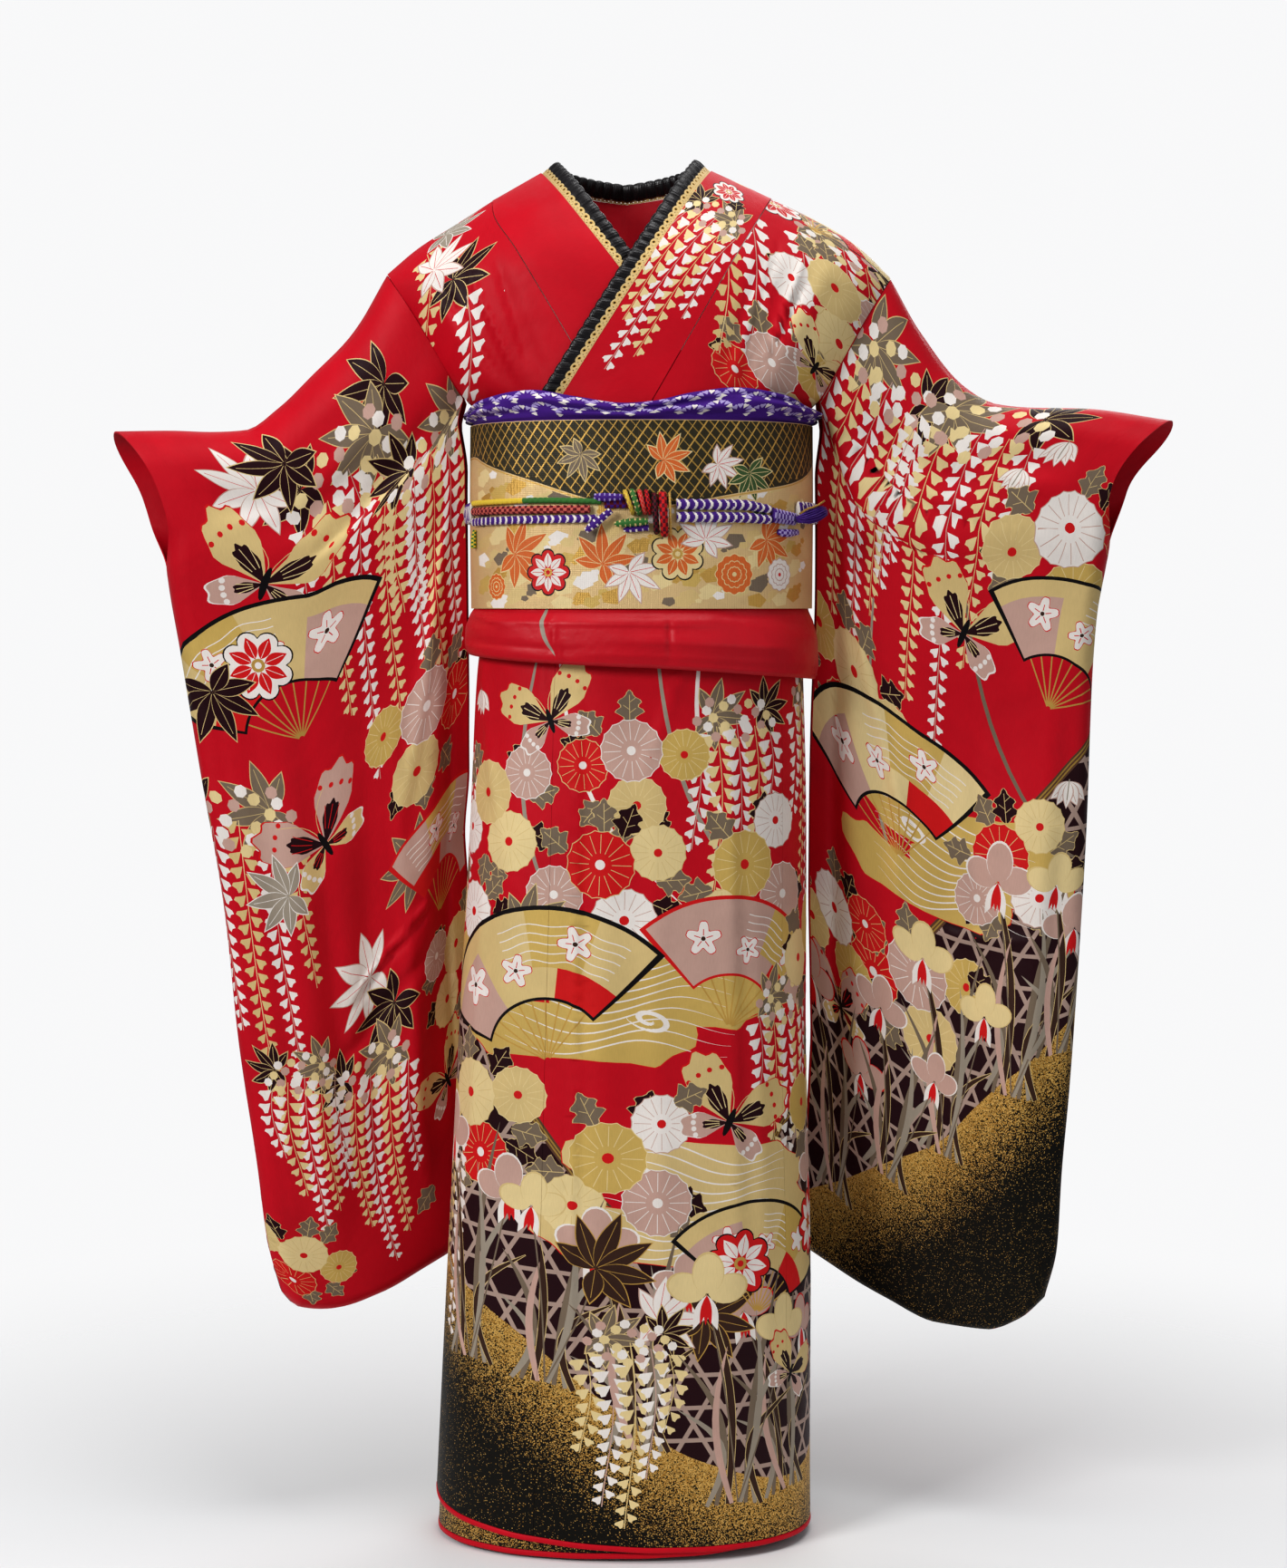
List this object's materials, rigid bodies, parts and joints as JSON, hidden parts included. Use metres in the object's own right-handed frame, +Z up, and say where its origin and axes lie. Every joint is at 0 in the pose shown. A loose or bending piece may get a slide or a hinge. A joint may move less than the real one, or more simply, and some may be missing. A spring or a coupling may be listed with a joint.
{
  "type": "furisode kimono with tied obi",
  "caption": "Long-sleeved red printed kimono in its worn hollow form, collar crossed left over right, tied obi with flat drum, obi scarf and braided cord.",
  "frame": {"origin": "on the shoulder line above the middle of the obi, where the shoulders carry the garment", "axes": "-Y the garment's front, +X its wearer's left, +Z up"},
  "size_m": [1.0886, 0.346, 1.4217],
  "materials": {
    "silk": "satin",
    "collar_silk": "satin",
    "lining": "satin",
    "lace": "metallic thread",
    "ribbon": "satin",
    "brocade": "metallic thread",
    "tie_dye": "matte",
    "braid": "satin"
  },
  "bodies": {
    "root": {"body_left": "silk", "body_right": "silk", "overlap_left": "silk", "overlap_right": "silk", "skirt_front_left": "silk", "skirt_front_right": "silk", "skirt_back_left": "silk", "skirt_back_right": "silk", "sleeve_left": "silk", "sleeve_right": "silk", "waist_fold": "silk", "collar": "collar_silk", "hem_roll": "lining", "collar_lace": "lace", "collar_ruffle": "ribbon", "obi_band": "brocade", "obi_drum": "brocade", "obi_hand": "brocade", "obi_tail": "brocade", "obi_scarf": "tie_dye", "cord_behind": "braid", "cord_bow_green": "braid", "cord_bow_lower": "braid", "cord_bow_right": "braid", "cord_bow_upper": "braid", "cord_braid_lower": "braid", "cord_braid_upper": "braid", "cord_end_loop": "braid", "cord_gather": "braid", "cord_gold_end": "braid", "cord_knot": "braid", "cord_loop_dark": "braid", "cord_loop_edge": "braid", "cord_loop_green": "braid", "cord_loop_red": "braid", "cord_loop_red_second": "braid", "cord_loop_wide": "braid", "cord_loop_yellow": "braid", "cord_purple_left": "braid", "cord_red": "braid", "cord_tuft": "braid", "cord_yellow": "braid", "cord_yellow_end": "braid"}
  },
  "joints": []
}
